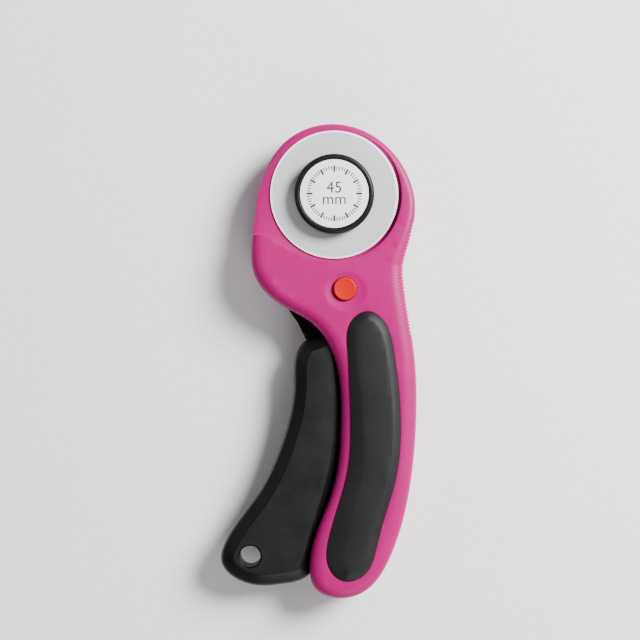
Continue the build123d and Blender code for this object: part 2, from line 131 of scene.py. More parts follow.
# ---- Curves ----
def cubic(points, count, closed):
    """Smooth curve through the points, as count points evenly spaced by length."""
    p = np.array(points, float)
    if closed:
        p = np.vstack([p, p[:1]])
    chord = np.r_[0, np.cumsum(np.linalg.norm(np.diff(p, axis=0), axis=1))]
    n = len(p)
    h = np.diff(chord)
    system = np.zeros((n, n))
    right = np.zeros((n, 2))
    slope = np.diff(p, axis=0) / h[:, None]
    for i in range(1, n - 1):
        system[i, i - 1:i + 2] = h[i - 1], 2 * (h[i - 1] + h[i]), h[i]
        right[i] = 6 * (slope[i] - slope[i - 1])
    if closed:
        system[0, 0], system[0, -1] = 1, -1
        system[-1, 0], system[-1, 1] = 2 * h[0], h[0]
        system[-1, -1] += 2 * h[-1]
        system[-1, -2] += h[-1]
        right[-1] = 6 * (slope[0] - slope[-1])
    else:
        system[0, 0] = system[-1, -1] = 1
    bend = np.linalg.solve(system, right)
    fine = np.linspace(0, chord[-1], 6000)
    k = np.clip(np.searchsorted(chord, fine, side="right") - 1, 0, n - 2)
    a, b = (chord[k + 1] - fine)[:, None], (fine - chord[k])[:, None]
    g = h[k][:, None]
    curve = (bend[k] * a**3 + bend[k + 1] * b**3) / (6 * g) + (p[k] / g - bend[k] * g / 6) * a
    curve += (p[k + 1] / g - bend[k + 1] * g / 6) * b
    length = np.r_[0, np.cumsum(np.linalg.norm(np.diff(curve, axis=0), axis=1))]
    where = np.linspace(0, length[-1], count, endpoint=False)
    return np.stack([np.interp(where, length, curve[:, i]) for i in (0, 1)], axis=1)


def inward(loop):
    """Unit normals of a counter-clockwise loop, pointing inside."""
    along = np.roll(loop, -1, axis=0) - np.roll(loop, 1, axis=0)
    along /= np.linalg.norm(along, axis=1)[:, None]
    return np.stack([-along[:, 1], along[:, 0]], axis=1)


def arc(centre, radius, start, end, count):
    """Points of an arc; the angles are in degrees."""
    a = np.radians(np.linspace(start, end, count))
    return np.asarray(centre) + radius * np.stack([np.cos(a), np.sin(a)], axis=1)


# ---- Mesh building ----
def mesh_object(name, verts, faces, smooth=True):
    """Piece from corners in millimetres, with every face turned outwards."""
    mesh = bpy.data.meshes.new(name)
    mesh.from_pydata([tuple(np.asarray(v) * MM) for v in verts], [], faces)
    bm = bmesh.new()
    bm.from_mesh(mesh)
    bmesh.ops.recalc_face_normals(bm, faces=bm.faces)
    bm.to_mesh(mesh)
    bm.free()
    for polygon in mesh.polygons:
        polygon.use_smooth = smooth
    obj = bpy.data.objects.new(name, mesh)
    bpy.context.scene.collection.objects.link(obj)
    return obj


def cap(verts, faces, ring, first, height, grid):
    """Close one ring of a stack with a fine mesh that follows a height; first is the ring's first vertex."""
    count = len(ring)
    lo, hi = np.min(ring, axis=0), np.max(ring, axis=0)
    loop = [Vector(v[:2]) for v in ring]
    inner = [Vector((x, y)) for x in np.arange(lo[0], hi[0], grid) for y in np.arange(lo[1], hi[1], grid)]
    edges = [(i, (i + 1) % count) for i in range(count)]
    points, _, tris, sources, _, _ = delaunay_2d_cdt(loop + inner, edges, [], 1, 1e-6)
    index = {i: first + min(source) for i, source in enumerate(sources) if source and min(source) < count}
    for tri in tris:
        for i in tri:
            if i not in index:
                index[i] = len(verts)
                verts.append((points[i].x, points[i].y, height(points[i].x, points[i].y)))
        faces.append(tuple(index[i] for i in tri))


def stack(name, rings, top_height=None, grid=4.0, bottom_height=None):
    """A closed mesh from rings of equal length. An end with a height is meshed inside to follow it."""
    count = len(rings[0])
    verts = [tuple(v) for ring in rings for v in ring]
    faces = []
    for r in range(len(rings) - 1):
        for i in range(count):
            j = (i + 1) % count
            faces.append((r * count + i, r * count + j, (r + 1) * count + j, (r + 1) * count + i))
    last = (len(rings) - 1) * count
    for ring, first, height in ((rings[0], 0, bottom_height), (rings[-1], last, top_height)):
        if height is None:
            faces.append(tuple(first + i for i in range(count)))
        else:
            cap(verts, faces, ring, first, height, grid)
    return mesh_object(name, verts, faces)


def prism(name, loop, low, high):
    """Straight-sided piece over a plan, between two levels."""
    rings = [[(x, y, z) for x, y in loop] for z in (low, high)]
    return stack(name, rings)


def lathe(name, profile, steps=192, centre=(0.0, 0.0)):
    """Turned piece: profile is a closed list of (radius, height); a radius of 0 is on the axis."""
    verts, faces, rows = [], [], []
    for radius, height in profile:
        if radius == 0:
            rows.append([len(verts)] * steps)
            verts.append((centre[0], centre[1], height))
            continue
        rows.append(list(range(len(verts), len(verts) + steps)))
        for i in range(steps):
            a = 2 * math.pi * i / steps
            verts.append((centre[0] + radius * math.cos(a), centre[1] + radius * math.sin(a), height))
    for r in range(len(rows)):
        s = (r + 1) % len(rows)
        for i in range(steps):
            j = (i + 1) % steps
            face = [rows[r][i], rows[r][j], rows[s][j], rows[s][i]]
            face = list(dict.fromkeys(face))
            if len(face) > 2:
                faces.append(face)
    return mesh_object(name, verts, faces)


def apply_modifiers(obj):
    """Keep what the modifiers make as the piece's own mesh."""
    graph = bpy.context.evaluated_depsgraph_get()
    made = bpy.data.meshes.new_from_object(obj.evaluated_get(graph))
    obj.modifiers.clear()
    obj.data = made


def cut(obj, *cutters):
    """Take the cutters out of a mesh."""
    for cutter in cutters:
        modifier = obj.modifiers.new("cut", "BOOLEAN")
        modifier.operation = "DIFFERENCE"
        modifier.solver = "EXACT"
        modifier.object = cutter
        apply_modifiers(obj)
        bpy.data.objects.remove(cutter)


def soften(obj, width):
    """Small round on the sharp edges, then smooth shading between faces that nearly line up."""
    modifier = obj.modifiers.new("round", "BEVEL")
    modifier.width = width * MM
    modifier.segments = 2
    modifier.limit_method = "ANGLE"
    modifier.angle_limit = math.radians(50)
    modifier.use_clamp_overlap = True
    modifier.harden_normals = False
    apply_modifiers(obj)
    smooth_by_angle(obj, 32)


def smooth_by_angle(obj, degrees_):
    mesh = obj.data
    for polygon in mesh.polygons:
        polygon.use_smooth = True
    mesh.set_sharp_from_angle(angle=math.radians(degrees_))


# ---- Body: outline, heights and the plans of what is cut from it ----
def eased(y, start, run, low, high):
    """From low to high over a run of y, smooth at both ends."""
    t = np.clip((y - start) / run, 0.0, 1.0)
    return low + (high - low) * t * t * (3 - 2 * t)


def half_height(y):
    """Half thickness of the body: full at the handle, thin at the head."""
    return eased(y, TAPER_START, TAPER_RUN, GRIP_HALF, GUARD_HALF)


def rim_radius(y):
    """Rounding of the body's edge."""
    return eased(y, RIM_START, RIM_RUN, RIM_GRIP_R, RIM_HEAD_R)


def ribbed_outline():
    """Outline of the body, its inward normals, and how deep the thumb's fine ribs are at each point."""
    loop = cubic(SHELL_POINTS, 3000, closed=False)
    close_to_ribs = (loop[:, 0] > RIB_SIDE_X) & (loop[:, 1] > -52) & (loop[:, 1] < -7)
    loop = loop[close_to_ribs | (np.arange(len(loop)) % 3 == 0)]
    normal = inward(loop)
    step = np.linalg.norm(np.roll(loop, -1, axis=0) - loop, axis=1)
    along = np.cumsum(step) - step
    x, y = loop[:, 0], loop[:, 1]
    fade = np.zeros(len(loop))
    for low, high in RIB_SPANS:
        here = (x > RIB_SIDE_X) & (y > low) & (y < high)
        from_end = np.minimum(y - low, high - y)
        fade[here] = np.clip(from_end[here] / RIB_RUN_OUT, 0, 1)
    return loop, normal, RIB_DEPTH / 2 * fade * (1 - np.cos(2 * math.pi * along / RIB_PITCH))


OUTLINE, OUTLINE_IN, RIBS = ribbed_outline()
SEAM_BREAK = ((0.22, 0.02), (0.05, 0.16), (0.0, 0.34))  # (inwards, from the seam)
ROUND_ANGLES = (0, 10, 20, 30, 40, 50, 58, 66, 74, 82)


def half_shell(name, side):
    """One half of the body block, from the seam to its rounded face. Side is 1 for front and -1 for rear."""
    rings = []
    radius = rim_radius(OUTLINE[:, 1])
    top = half_height(OUTLINE[:, 1])
    wide = 0.85 + 0.45 * np.abs(OUTLINE_IN[:, 0])  # the rounding is wider where the outline faces sideways
    wide = np.convolve(np.r_[wide[-12:], wide, wide[:12]], np.ones(25) / 25, "valid")
    for inset, height in SEAM_BREAK:
        p = OUTLINE + OUTLINE_IN * (inset + RIBS)[:, None]
        rings.append(np.c_[p, np.full(len(p), PART_Z + side * height)])
    straight = SEAM_BREAK[-1][1]
    for share in (0.33, 0.66):
        p = OUTLINE + OUTLINE_IN * RIBS[:, None]
        rings.append(np.c_[p, PART_Z + side * (straight + (top - radius - straight) * share)])
    for degrees in ROUND_ANGLES:
        a = math.radians(degrees)
        inset = radius * wide * (1 - math.cos(a)) * 1.16
        rise = radius * (math.sin(a) / math.sin(math.radians(ROUND_ANGLES[-1])) - 1)
        p = OUTLINE + OUTLINE_IN * (inset + RIBS * max(0.0, 1 - degrees / RIB_LAST_ANGLE))[:, None]
        rings.append(np.c_[p, PART_Z + side * (top + rise)])
    return stack(name, [r.tolist() for r in rings], lambda x, y: PART_Z + side * half_height(y), grid=2.5)


def between(side, low, high):
    """Two levels on one side of the seam, in rising order."""
    return sorted((PART_Z + side * low, PART_Z + side * high))


def open_head():
    """All that lies above the ridge and inside the recess round the blade."""
    ridge = cubic(RIDGE_POINTS, 90, closed=False)
    recess = arc((0, 0), RECESS_R, -119.5, 45.0, 260)
    outside = [(28.0, 28.0), (28.0, 60.0), (-45.0, 60.0)]
    return np.vstack([ridge[:-1], recess, outside])


def trigger_channel():
    """From the body's right inner wall to past its left side, between two arcs about the pivot."""
    inner = OUTLINE + OUTLINE_IN * SHELL_WALL
    right = (inner[:, 1] < -42.5) & (inner[:, 0] > 8)
    wall = inner[right & (np.linalg.norm(inner - PIVOT, axis=1) < CHANNEL_FAR)]
    wall = wall[np.argsort(-wall[:, 1])][::4]
    low_angle = math.degrees(math.atan2(wall[-1, 1] - PIVOT[1], wall[-1, 0] - PIVOT[0]))
    near = arc(PIVOT, CHANNEL_NEAR, -110.0, -37.4, 40)
    far = arc(PIVOT, CHANNEL_FAR, low_angle, -100.0, 60)[1:]
    return np.vstack([near, wall, far, [(-46.0, -137.0), (-46.0, -52.0)]])


def head_room():
    """The inside of the head and neck."""
    inner = OUTLINE + OUTLINE_IN * HEAD_WALL
    inner = np.roll(inner, len(inner) // 4, axis=0)  # the loop now starts in the handle
    return inner[inner[:, 1] > -60.0][::4]


def boss_slot():
    """Slot for the lever's boss, from rest to the full squeeze."""
    swing = math.radians(SQUEEZE)
    swung = PIVOT + np.array([
        -PIVOT[0] * math.cos(swing) + PIVOT[1] * math.sin(swing),
        -PIVOT[0] * math.sin(swing) - PIVOT[1] * math.cos(swing),
    ])
    way = math.degrees(math.atan2(swung[1], swung[0]))
    ends = arc(swung, BOSS_SLOT_R, way - 90, way + 90, 40), arc((0, 0), BOSS_SLOT_R, way + 90, way + 270, 40)
    return np.vstack(ends)


ARM_ROOM = np.array([
    (-22.0, -34.5), (-24.0, -44.0), (-8.0, -60.0), (6.0, -54.0), (10.0, -36.0), (-6.0, -26.0),
])
PAD_LOOP = cubic(PAD_POINTS, 420, closed=True)[::-1]  # counter-clockwise
PAD_IN = inward(PAD_LOOP)


def dish(name, centre, side, rim, deep):
    """Cutter for a shallow round relief in a face of the body."""
    ball = (rim**2 + deep**2) / (2 * deep)
    top = half_height(centre[1])
    angles = np.linspace(0, math.asin(rim * 1.15 / ball), 14)
    profile = [(ball * math.sin(a), PART_Z + side * (top - deep + ball * (1 - math.cos(a)))) for a in angles]
    profile += [(rim * 1.15, PART_Z + side * (top + 6)), (0, PART_Z + side * (top + 6))]
    return lathe(name, profile, 96, centre)


def body_shell(name, side):
    """One shell of the body, with its cavities, the recess, the pad's seat and the holes."""
    hole_r = BUTTON_HOLE_FRONT_R if side > 0 else BUTTON_HOLE_REAR_R
    shell = half_shell(name, side)
    cutters = [
        prism("room", head_room(), *between(side, BEHIND_SEAM, CAVITY_HALF)),
        prism("arm_room", ARM_ROOM, *between(side, BEHIND_SEAM, CAVITY_HALF)),
        prism("channel", trigger_channel(), *between(side, BEHIND_SEAM, CHANNEL_HALF)),
        prism("head", open_head(), *between(side, GUARD_HALF, PAST_FACE)),
        prism("slot", boss_slot(), *between(side, BEHIND_SEAM, PAST_FACE)),
        prism("pad_seat", PAD_LOOP, *between(side, GRIP_HALF - PAD_LET_IN, PAST_FACE)),
        prism("button_hole", arc(BUTTON, hole_r, 0, 360, 97)[:-1], *between(side, BEHIND_SEAM, PAST_FACE)),
        dish("relief", BUTTON + RELIEF_SHIFT, side, RELIEF_R, RELIEF_DEPTH),
    ]
    if side < 0:
        for spot in SCREWS:
            well = arc(spot, SCREW_WELL_R, 0, 360, 49)[:-1]
            cutters.append(prism("well", well, *between(side, SCREW_WELL_FLOOR, PAST_FACE)))
    cut(shell, *cutters)
    soften(shell, 0.18)
    return shell


# ---- Soft pads: pillows with a wide slope on the trigger's side and a narrow one on the other ----
PAD_FOOT = 0.15  # the pad's sides stand upright to here above the shell
PAD_CROWN = 0.22  # kept for the crown over the last ring
PAD_SHARES = (0.02, 0.06, 0.12, 0.2, 0.32, 0.46, 0.6, 0.74, 0.87, 0.97, 1.0)


def grip_pad(name, side):
    """Soft inlay of the handle, in its seat and crowned over it."""
    loop, normal = PAD_LOOP, PAD_IN
    lower = np.clip((-loop[:, 1] - 60.0) / 60.0, 0, 1)
    facing = np.clip(normal[:, 0], 0, 1)  # 1 on the trigger's side
    slope = 2.7 + facing * (0.5 + 3.2 * lower)
    foot = GRIP_HALF + PAD_FOOT
    rise = PAD_HALF - GRIP_HALF - PAD_FOOT
    rings = [
        np.c_[loop + normal * 0.12, np.full(len(loop), PART_Z + side * (GRIP_HALF - 1.15))],
        np.c_[loop + normal * 0.08, np.full(len(loop), PART_Z + side * foot)],
    ]
    for t in PAD_SHARES:
        height = foot + (rise - PAD_CROWN) * (0.55 * math.sin(t * math.pi / 2) ** 0.8 + 0.45 * t)
        inset = 0.08 + slope * t
        rings.append(np.c_[loop + normal * inset[:, None], np.full(len(loop), PART_Z + side * height)])
    crest = foot + rise - PAD_CROWN

    def crown(x, y):
        from_edge = np.min(np.hypot(rings[-1][:, 0] - x, rings[-1][:, 1] - y))
        return PART_Z + side * (crest + 0.2 * (1 - math.exp(-from_edge / 2.0)))

    pad = stack(name, [r.tolist() for r in rings], crown, grid=2.0)
    smooth_by_angle(pad, 40)
    return pad


# ---- Trigger ----
TRIGGER_EDGE_STEPS = [  # (inwards, down from the face)
    (0.0, 4.2), (0.1, 3.5), (0.35, 2.85), (0.75, 2.3), (1.3, 1.85), (4.2, 0.14), (4.4, 0.04), (4.65, 0.0),
]


def trigger(name):
    """Squeeze trigger: flat faces with a wide slope round them, and the hang hole with its broken edges."""
    low, high = PART_Z - TRIGGER_HALF, PART_Z + TRIGGER_HALF
    loop = cubic(TRIGGER_POINTS, 700, closed=True)
    normal = inward(loop)
    rings = []
    for inset, down in TRIGGER_EDGE_STEPS[::-1]:
        rings.append(np.c_[loop + normal * inset, np.full(len(loop), low + down)])
    for inset, down in TRIGGER_EDGE_STEPS:
        rings.append(np.c_[loop + normal * inset, np.full(len(loop), high - down)])
    grip = stack(name, [r.tolist() for r in rings], lambda x, y: high, 6.0, lambda x, y: low)
    past = 8.0  # the cutter's reach
    hole = [
        (0, PART_Z - past), (HANG_R + 3.1, PART_Z - past), (HANG_R + 0.5, low), (HANG_R, low + 0.5),
        (HANG_R, high - 0.5), (HANG_R + 0.5, high), (HANG_R + 3.1, PART_Z + past), (0, PART_Z + past),
    ]
    cut(grip, lathe("hole", hole, 96, HANG_HOLE))
    smooth_by_angle(grip, 22)
    return grip


# ---- Turned pieces ----
def rounded(points, radius):
    """Closed profile of (radius, height) with each corner that is off the axis rounded."""
    out = []
    n = len(points)
    for i, p in enumerate(points):
        p = np.array(p, float)
        before, after = np.array(points[i - 1], float), np.array(points[(i + 1) % n], float)
        if p[0] < 1e-6 or radius == 0:
            out.append(tuple(p))
            continue
        u, v = before - p, after - p
        r = min(radius, np.linalg.norm(u) * 0.4, np.linalg.norm(v) * 0.4)
        u, v = p + u / np.linalg.norm(u) * r, p + v / np.linalg.norm(v) * r
        for t in np.linspace(0, 1, 5):
            out.append(tuple((1 - t) ** 2 * u + 2 * t * (1 - t) * p + t**2 * v))
    return out


def turned(name, points, radius, steps=192, centre=(0.0, 0.0)):
    """Turned piece with its corners rounded."""
    piece = lathe(name, rounded(points, radius), steps, centre)
    smooth_by_angle(piece, 28)
    return piece


def blade_disc():
    """Round blade, ground to its edge from both faces."""
    low, high = BLADE_REAR, BLADE_REAR + BLADE_T
    profile = [
        (BLADE_BORE_R, low), (GROUND_R, low), (BLADE_R, low + 0.13), (BLADE_R, low + 0.17), (GROUND_R, high),
        (BLADE_BORE_R, high),
    ]
    disc = lathe("blade_disc", profile, 256)
    smooth_by_angle(disc, 4)
    return disc


def hub_ring():
    """Bolt head with a raised rim round the label."""
    low, high = HUB_REAR, HUB_FACE
    points = [
        (4.2, low), (13.4, low), (HUB_R, low + 0.5), (HUB_R, high - 0.6), (13.2, high), (12.35, high),
        (12.05, high - 0.5), (4.2, high - 0.5),
    ]
    return turned("hub_ring", points, 0.28)


def label_disc():
    points = [(0, LABEL_REAR), (LABEL_R, LABEL_REAR), (LABEL_R, LABEL_FACE), (0, LABEL_FACE)]
    return turned("label_disc", points, 0.08)


def finger_nut():
    """Fluted nut with a shallow socket in its face."""
    count = 384
    a = np.linspace(0, 2 * math.pi, count, endpoint=False)
    flute = 0.5 * (1 + np.cos(NUT_FLUTES * a))
    outer = NUT_R - FLUTE_DEPTH * flute**3
    sides = (
        (1.1, 0.0), (0.5, 0.12), (0.12, 0.45), (0.0, 0.9), (0.0, 4.7), (0.12, 5.1), (0.5, 5.38), (1.0, NUT_H),
    )
    rings = []
    for inset, z in sides:
        r = outer - inset
        rings.append(np.c_[r * np.cos(a), r * np.sin(a), np.full(count, z)])
    for r, z in ((5.6, NUT_H), (5.2, 5.3)):
        rings.append(np.c_[r * np.cos(a), r * np.sin(a), np.full(count, z)])
    nut = stack("finger_nut", [r.tolist() for r in rings])
    smooth_by_angle(nut, 35)
    return nut


def push_button():
    """Lock button: thick at the rear and behind its head, thin where the lever passes."""
    rear, neck_low, neck_high, head = 5.0, 9.0, 13.6, 17.2
    thick_r, neck_r = 3.4, 2.5
    points = [
        (0, rear), (thick_r, rear), (thick_r, neck_low), (neck_r, neck_low), (neck_r, neck_high),
        (thick_r, neck_high), (thick_r, head), (BUTTON_R, head), (BUTTON_R, BUTTON_FACE - 0.35),
        (3.7, BUTTON_FACE), (2.9, BUTTON_FACE - 0.12), (0, BUTTON_FACE - 0.3),
    ]
    return turned("push_button", points, 0.22, 128, BUTTON)


def spring_path():
    """Middle of the wire: a leg in the lever, a small bend, the coil, and a leg along the front shell."""
    bend = 0.6
    path = [(SPRING_R, 0.0, z) for z in np.linspace(LEVER_LEG_END, SPRING_LOW - bend, 5)]
    for a in np.radians((18, 36, 54, 72)):
        y = bend * (1 - math.cos(a))
        path.append((math.sqrt(SPRING_R**2 - y**2), y, SPRING_LOW - bend + bend * math.sin(a)))
    for a in np.linspace(bend / SPRING_R, 2 * math.pi * SPRING_TURNS, 200):
        z = SPRING_LOW + SPRING_PITCH * a / (2 * math.pi)
        path.append((SPRING_R * math.cos(a), SPRING_R * math.sin(a), z))
    top = SPRING_LOW + SPRING_PITCH * SPRING_TURNS
    path += [(x, -SPRING_R, top) for x in np.linspace(0.5, SPRING_LEG, 8)]
    return np.array(path) + np.array([*PIVOT, 0.0])


def spring_coil():
    """Torsion spring round the pin, as a round wire along its path."""
    sides = 16
    path = spring_path()
    verts, faces, across = [], [], np.array([1.0, 0.0, 0.0])
    for i, point in enumerate(path):
        along = path[min(i + 1, len(path) - 1)] - path[max(i - 1, 0)]
        along /= np.linalg.norm(along)
        across = across - along * (across @ along)
        across /= np.linalg.norm(across)
        third = np.cross(along, across)
        for j in range(sides):
            a = 2 * math.pi * j / sides
            verts.append(tuple(point + WIRE_R * (math.cos(a) * across + math.sin(a) * third)))
    for i in range(len(path) - 1):
        for j in range(sides):
            k, m = i * sides + j, i * sides + (j + 1) % sides
            faces.append((k, m, m + sides, k + sides))
    faces.append(tuple(reversed(range(sides))))
    faces.append(tuple(len(verts) - sides + j for j in range(sides)))
    obj = mesh_object("return_spring_coil", verts, faces)
    smooth_by_angle(obj, 40)
    return obj


def label_ticks():
    """Ring of 60 ticks printed on the label, every fifth one longer and wider."""
    verts, faces = [], []
    for i in range(60):
        a = math.radians(6 * i)
        r0, half = (7.6, 0.34) if i % 5 == 0 else (8.3, 0.17)
        r1 = 9.7
        u, v = np.array([math.cos(a), math.sin(a)]), np.array([-math.sin(a), math.cos(a)])
        corners = [r0 * u - half * v, r1 * u - half * v, r1 * u + half * v, r0 * u + half * v]
        k = len(verts)
        verts += [(*corner, z) for z in (INK_REAR, INK_REAR + INK_T) for corner in corners]
        faces += [(k + 3, k + 2, k + 1, k), (k + 4, k + 5, k + 6, k + 7)]
        faces += [(k + j, k + (j + 1) % 4, k + 4 + (j + 1) % 4, k + 4 + j) for j in range(4)]
    return mesh_object("label_ticks", verts, faces, smooth=False)


def label_numeral():
    """The blade's size, printed on the label."""
    curve = bpy.data.curves.new("numeral", "FONT")
    curve.body = "45\nmm"
    curve.size = 5.6 * MM
    curve.space_line = 0.72
    curve.align_x = "CENTER"
    curve.align_y = "CENTER"
    curve.extrude = 0.02 * MM
    text = bpy.data.objects.new("numeral", curve)
    bpy.context.scene.collection.objects.link(text)
    graph = bpy.context.evaluated_depsgraph_get()
    mesh = bpy.data.meshes.new_from_object(text.evaluated_get(graph))
    numeral = bpy.data.objects.new("label_numeral", mesh)
    bpy.context.scene.collection.objects.link(numeral)
    bpy.data.objects.remove(text)
    for vertex in mesh.vertices:
        vertex.co.z += (INK_REAR + 0.02) * MM
    return numeral


# ---- Materials ----
def material(name):
    """A new material, with its node tree, its shader and the object's own coordinates."""
    made = bpy.data.materials.new(name)
    made.use_nodes = True
    tree = made.node_tree
    shader = tree.nodes["Principled BSDF"]
    where = tree.nodes.new("ShaderNodeTexCoord").outputs["Object"]
    return made, tree, shader, where


def noise(tree, where, scale, detail=4.0, rough=0.55, stretch=None):
    """Noise over the object's own coordinates; scale is in features per metre."""
    if stretch:
        mapping = tree.nodes.new("ShaderNodeMapping")
        mapping.inputs["Scale"].default_value = stretch
        tree.links.new(where, mapping.inputs["Vector"])
        where = mapping.outputs["Vector"]
    node = tree.nodes.new("ShaderNodeTexNoise")
    node.inputs["Scale"].default_value = scale
    node.inputs["Detail"].default_value = detail
    node.inputs["Roughness"].default_value = rough
    tree.links.new(where, node.inputs["Vector"])
    return node.outputs["Fac"]


def ramp(tree, value, stops):
    """Colour ramp; stops are (place, colour)."""
    node = tree.nodes.new("ShaderNodeValToRGB")
    elements = node.color_ramp.elements
    while len(elements) < len(stops):
        elements.new(0.5)
    for element, (place, colour) in zip(elements, stops):
        element.position = place
        element.color = (*colour, 1)
    tree.links.new(value, node.inputs["Fac"])
    return node.outputs["Color"]


def spread(tree, value, low, high):
    """A noise value, which stays near its middle, spread between low and high."""
    node = tree.nodes.new("ShaderNodeMapRange")
    node.inputs["From Min"].default_value = 0.3
    node.inputs["From Max"].default_value = 0.7
    node.inputs["To Min"].default_value = low
    node.inputs["To Max"].default_value = high
    tree.links.new(value, node.inputs["Value"])
    return node.outputs["Result"]


def bump(tree, shader, layers):
    """Bump from several heights; layers are (height, distance in mm)."""
    normal = None
    for height, distance in layers:
        node = tree.nodes.new("ShaderNodeBump")
        node.inputs["Distance"].default_value = distance * MM
        node.inputs["Strength"].default_value = 1.0
        tree.links.new(height, node.inputs["Height"])
        if normal is not None:
            tree.links.new(normal, node.inputs["Normal"])
        normal = node.outputs["Normal"]
    tree.links.new(normal, shader.inputs["Normal"])


def srgb(code):
    """Linear colour from a hex code."""
    values = [int(code[i:i + 2], 16) / 255 for i in (0, 2, 4)]
    return tuple(v / 12.92 if v <= 0.04045 else ((v + 0.055) / 1.055) ** 2.4 for v in values)


def shade(colour, factor):
    """The colour made lighter or darker, at most full."""
    return tuple(min(1.0, c * factor) for c in colour)


def moulded(name, colour, rough, grain, specular=0.5, variation=0.05, texture=1600):
    """Moulded plastic: slow cloudiness of the pigment, fine spark texture and faint scuffs."""
    made, tree, shader, where = material(name)
    cloud = noise(tree, where, 45, 3)
    base = ramp(tree, cloud, [(0.32, shade(colour, 1 - variation)), (0.68, shade(colour, 1 + variation))])
    tree.links.new(base, shader.inputs["Base Color"])
    fine = noise(tree, where, texture, 2)
    scuff = noise(tree, where, 160, 5, 0.7)
    tree.links.new(spread(tree, scuff, rough - 0.05, rough + 0.07), shader.inputs["Roughness"])
    bump(tree, shader, [(fine, grain), (noise(tree, where, 60, 2), grain * 1.5)])
    shader.inputs["Specular IOR Level"].default_value = specular
    return made


def rubber(name, colour, rough, grain):
    """Soft rubber: matt, with a fine pebbled skin and a little dust in it."""
    made, tree, shader, where = material(name)
    dust = noise(tree, where, 90, 5, 0.65)
    base = ramp(tree, dust, [(0.3, shade(colour, 0.86)), (0.62, colour), (0.8, shade(colour, 1.25))])
    tree.links.new(base, shader.inputs["Base Color"])
    cells = tree.nodes.new("ShaderNodeTexVoronoi")
    cells.inputs["Scale"].default_value = 2300
    tree.links.new(where, cells.inputs["Vector"])
    tree.links.new(spread(tree, dust, rough - 0.05, rough + 0.06), shader.inputs["Roughness"])
    bump(tree, shader, [(cells.outputs["Distance"], grain)])
    shader.inputs["Specular IOR Level"].default_value = 0.3
    shader.inputs["Sheen Weight"].default_value = 0.05
    shader.inputs["Sheen Roughness"].default_value = 0.4
    return made


def metal(name, colour, rough, grain=0.002, stretch=(1, 1, 1), anisotropic=0.0):
    """Worked metal: fine marks along one direction and small changes in polish."""
    made, tree, shader, where = material(name)
    marks = noise(tree, where, 1200, 3, 0.6, stretch)
    polish = noise(tree, where, 120, 4)
    base = ramp(tree, polish, [(0.3, shade(colour, 0.92)), (0.7, shade(colour, 1.05))])
    tree.links.new(base, shader.inputs["Base Color"])
    shader.inputs["Metallic"].default_value = 1.0
    tree.links.new(spread(tree, marks, rough - 0.06, rough + 0.08), shader.inputs["Roughness"])
    bump(tree, shader, [(marks, grain)])
    if anisotropic:
        shader.inputs["Anisotropic"].default_value = anisotropic
    return made


MIX_A, MIX_B, MIX_RESULT = 6, 7, 2  # colour sockets of the mix node


def ground_steel(name):
    """Blade steel: satin face with round grinding marks, and a narrow ground edge painted near-white as a
    highlight.
    """
    made, tree, shader, where = material(name)
    split = tree.nodes.new("ShaderNodeSeparateXYZ")
    tree.links.new(where, split.inputs["Vector"])
    flat = tree.nodes.new("ShaderNodeCombineXYZ")
    tree.links.new(split.outputs["X"], flat.inputs["X"])
    tree.links.new(split.outputs["Y"], flat.inputs["Y"])
    length = tree.nodes.new("ShaderNodeVectorMath")
    length.operation = "LENGTH"
    tree.links.new(flat.outputs["Vector"], length.inputs[0])
    radius = length.outputs["Value"]
    rings = tree.nodes.new("ShaderNodeTexNoise")
    rings.noise_dimensions = "1D"
    rings.inputs["Scale"].default_value = 5200
    rings.inputs["Detail"].default_value = 3
    tree.links.new(radius, rings.inputs["W"])
    edge = tree.nodes.new("ShaderNodeMapRange")
    edge.inputs["From Min"].default_value = GROUND_FADE[0] * MM
    edge.inputs["From Max"].default_value = GROUND_FADE[1] * MM
    tree.links.new(radius, edge.inputs["Value"])
    face = ramp(tree, noise(tree, where, 70, 4), [(0.3, (0.60, 0.61, 0.62)), (0.7, (0.66, 0.67, 0.68))])
    mix = tree.nodes.new("ShaderNodeMix")
    mix.data_type = "RGBA"
    tree.links.new(edge.outputs["Result"], mix.inputs["Factor"])
    tree.links.new(face, mix.inputs[MIX_A])
    # Painted highlight: the ground edge's colour is near-white.
    painted_edge_highlight = ramp(tree, noise(tree, where, 900, 3), [(0.3, (0.93, 0.93, 0.94)), (0.7, (0.98, 0.98, 0.98))])
    tree.links.new(painted_edge_highlight, mix.inputs[MIX_B])
    tree.links.new(mix.outputs[MIX_RESULT], shader.inputs["Base Color"])
    # Part of the painted highlight: the edge loses its metallic so the near-white shows.
    metallic = tree.nodes.new("ShaderNodeMapRange")
    metallic.inputs["From Min"].default_value = 0.0
    metallic.inputs["To Min"].default_value = 0.3
    metallic.inputs["To Max"].default_value = 0.0
    tree.links.new(edge.outputs["Result"], metallic.inputs["Value"])
    tree.links.new(metallic.outputs["Result"], shader.inputs["Metallic"])
    tree.links.new(spread(tree, rings.outputs["Fac"], 0.34, 0.46), shader.inputs["Roughness"])
    bump(tree, shader, [(rings.outputs["Fac"], 0.0012)])
    return made


MAGENTA = moulded("shell_magenta_plastic", (0.335, 0.0, 0.112), 0.4, 0.006, specular=0.2, variation=0.035)
BLACK_SOFT = rubber("soft_black_rubber", (0.0058, 0.006, 0.0063), 0.55, 0.02)
TRIGGER_BLACK = moulded(
    "trigger_black_plastic", (0.0042, 0.0045, 0.005), 0.44, 0.012, specular=0.35, variation=0.06,
    texture=1900,
)
